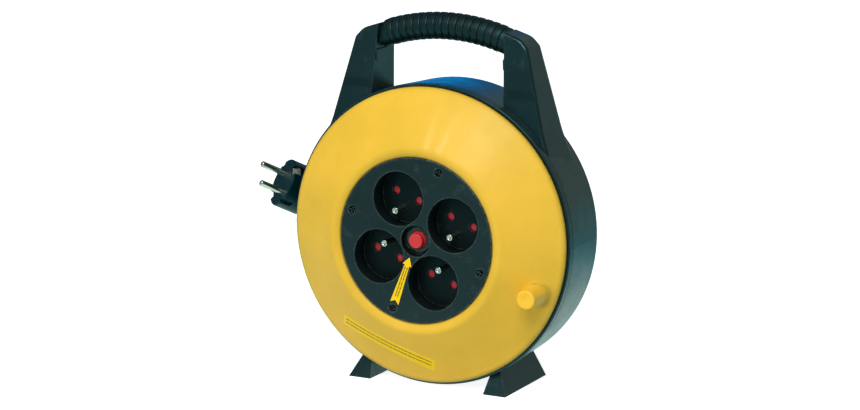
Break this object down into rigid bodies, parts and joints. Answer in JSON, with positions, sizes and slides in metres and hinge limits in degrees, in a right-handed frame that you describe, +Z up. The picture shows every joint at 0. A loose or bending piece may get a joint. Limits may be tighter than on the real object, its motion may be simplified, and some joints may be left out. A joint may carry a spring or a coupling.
{
  "type": "extension cord reel",
  "caption": "Carry-handled cable reel with a turning drum, earthed outlets with shutters, a reset button, a winding knob and an angled mains plug.",
  "frame": {"origin": "where the drum's axis meets the flat back face of the casing", "axes": "+X to the right seen from the outlets' side, +Y to the back along the drum's axis, +Z up"},
  "size_m": [0.2679, 0.0979, 0.2719],
  "materials": {
    "rear_shell": "moulded polypropylene, fine grain",
    "front_ring": "moulded polypropylene, fine grain",
    "ring_screws": "zinc plated",
    "handle_core": "moulded",
    "grip_sleeve": "ribbed soft grip",
    "grip_screws": "zinc plated",
    "cable_guide": "moulded polypropylene, fine grain",
    "axle_washer": "zinc plated",
    "axle_screw": "zinc plated",
    "bearing_bush": "moulded",
    "hub": "moulded polypropylene",
    "cable_coil": "flexible cable sheath",
    "strain_clamp": "moulded insulator",
    "clamp_screws": "zinc plated",
    "front_disc": "moulded, semi-gloss",
    "socket_plate": "moulded, fine grain",
    "plate_screws": "zinc plated",
    "contact_base": "moulded insulator",
    "live_rail": "stamped",
    "neutral_rail": "stamped",
    "pin_contacts": "stamped",
    "earth_rail": "nickel plated",
    "earth_pins": "nickel plated",
    "breaker_body": "moulded thermoset",
    "breaker_nut": "moulded thermoset",
    "breaker_tabs": "stamped",
    "knob_pin": "turned",
    "arrow_label": "printed film",
    "warning_label": "printed film",
    "knob": "moulded, semi-gloss",
    "reset_button": "moulded",
    "shutter_1": "moulded",
    "shutter_2": "moulded",
    "shutter_3": "moulded",
    "shutter_4": "moulded",
    "plug_body": "moulded PVC",
    "plug_pins": "nickel plated",
    "plug_earth_clips": "nickel plated",
    "plug_earth_sleeve": "nickel plated",
    "plug_boot": "flexible cable sheath",
    "cable_tail": "flexible cable sheath"
  },
  "bodies": {
    "casing": {"rear_shell": "rear_shell", "front_ring": "front_ring", "ring_screws": "ring_screws", "handle_core": "handle_core", "grip_sleeve": "grip_sleeve", "grip_screws": "grip_screws", "cable_guide": "cable_guide", "axle_washer": "axle_washer", "axle_screw": "axle_screw"},
    "drum": {"bearing_bush": "bearing_bush", "hub": "hub", "cable_coil": "cable_coil", "strain_clamp": "strain_clamp", "clamp_screws": "clamp_screws", "front_disc": "front_disc", "socket_plate": "socket_plate", "plate_screws": "plate_screws", "contact_base": "contact_base", "live_rail": "live_rail", "neutral_rail": "neutral_rail", "pin_contacts": "pin_contacts", "earth_rail": "earth_rail", "earth_pins": "earth_pins", "breaker_body": "breaker_body", "breaker_nut": "breaker_nut", "breaker_tabs": "breaker_tabs", "knob_pin": "knob_pin", "arrow_label": "arrow_label", "warning_label": "warning_label"},
    "knob": {"knob": "knob"},
    "reset_button": {"reset_button": "reset_button"},
    "shutter_1": {"shutter_1": "shutter_1"},
    "shutter_2": {"shutter_2": "shutter_2"},
    "shutter_3": {"shutter_3": "shutter_3"},
    "shutter_4": {"shutter_4": "shutter_4"},
    "plug": {"plug_body": "plug_body", "plug_pins": "plug_pins", "plug_earth_clips": "plug_earth_clips", "plug_earth_sleeve": "plug_earth_sleeve", "plug_boot": "plug_boot", "cable_tail": "cable_tail"}
  },
  "joints": [
    {"name": "drum_spin", "type": "hinge", "parent": "casing", "child": "drum", "pos_m": [0, 0, 0], "axis": [0, 1, 0], "continuous": true},
    {"name": "knob_spin", "type": "hinge", "parent": "drum", "child": "knob", "pos_m": [0.09061, -0.0715, -0.03173], "axis": [0, 1, 0], "continuous": true},
    {"name": "reset_press", "type": "slide", "parent": "drum", "child": "reset_button", "axis": [0, 1, 0], "range_m": [0, 0.0025]},
    {"name": "shutter_1_slide", "type": "slide", "parent": "drum", "child": "shutter_1", "axis": [0.3305, 0, 0.9438], "range_m": [0, 0.0064]},
    {"name": "shutter_2_slide", "type": "slide", "parent": "drum", "child": "shutter_2", "axis": [0.3305, 0, 0.9438], "range_m": [0, 0.0064]},
    {"name": "shutter_3_slide", "type": "slide", "parent": "drum", "child": "shutter_3", "axis": [-0.3305, 0, -0.9438], "range_m": [0, 0.0064]},
    {"name": "shutter_4_slide", "type": "slide", "parent": "drum", "child": "shutter_4", "axis": [-0.3305, 0, -0.9438], "range_m": [0, 0.0064]},
    {"name": "plug_pull", "type": "slide", "parent": "casing", "child": "plug", "axis": [-0.765, 0, -0.644], "range_m": [0, 0.04]}
  ]
}
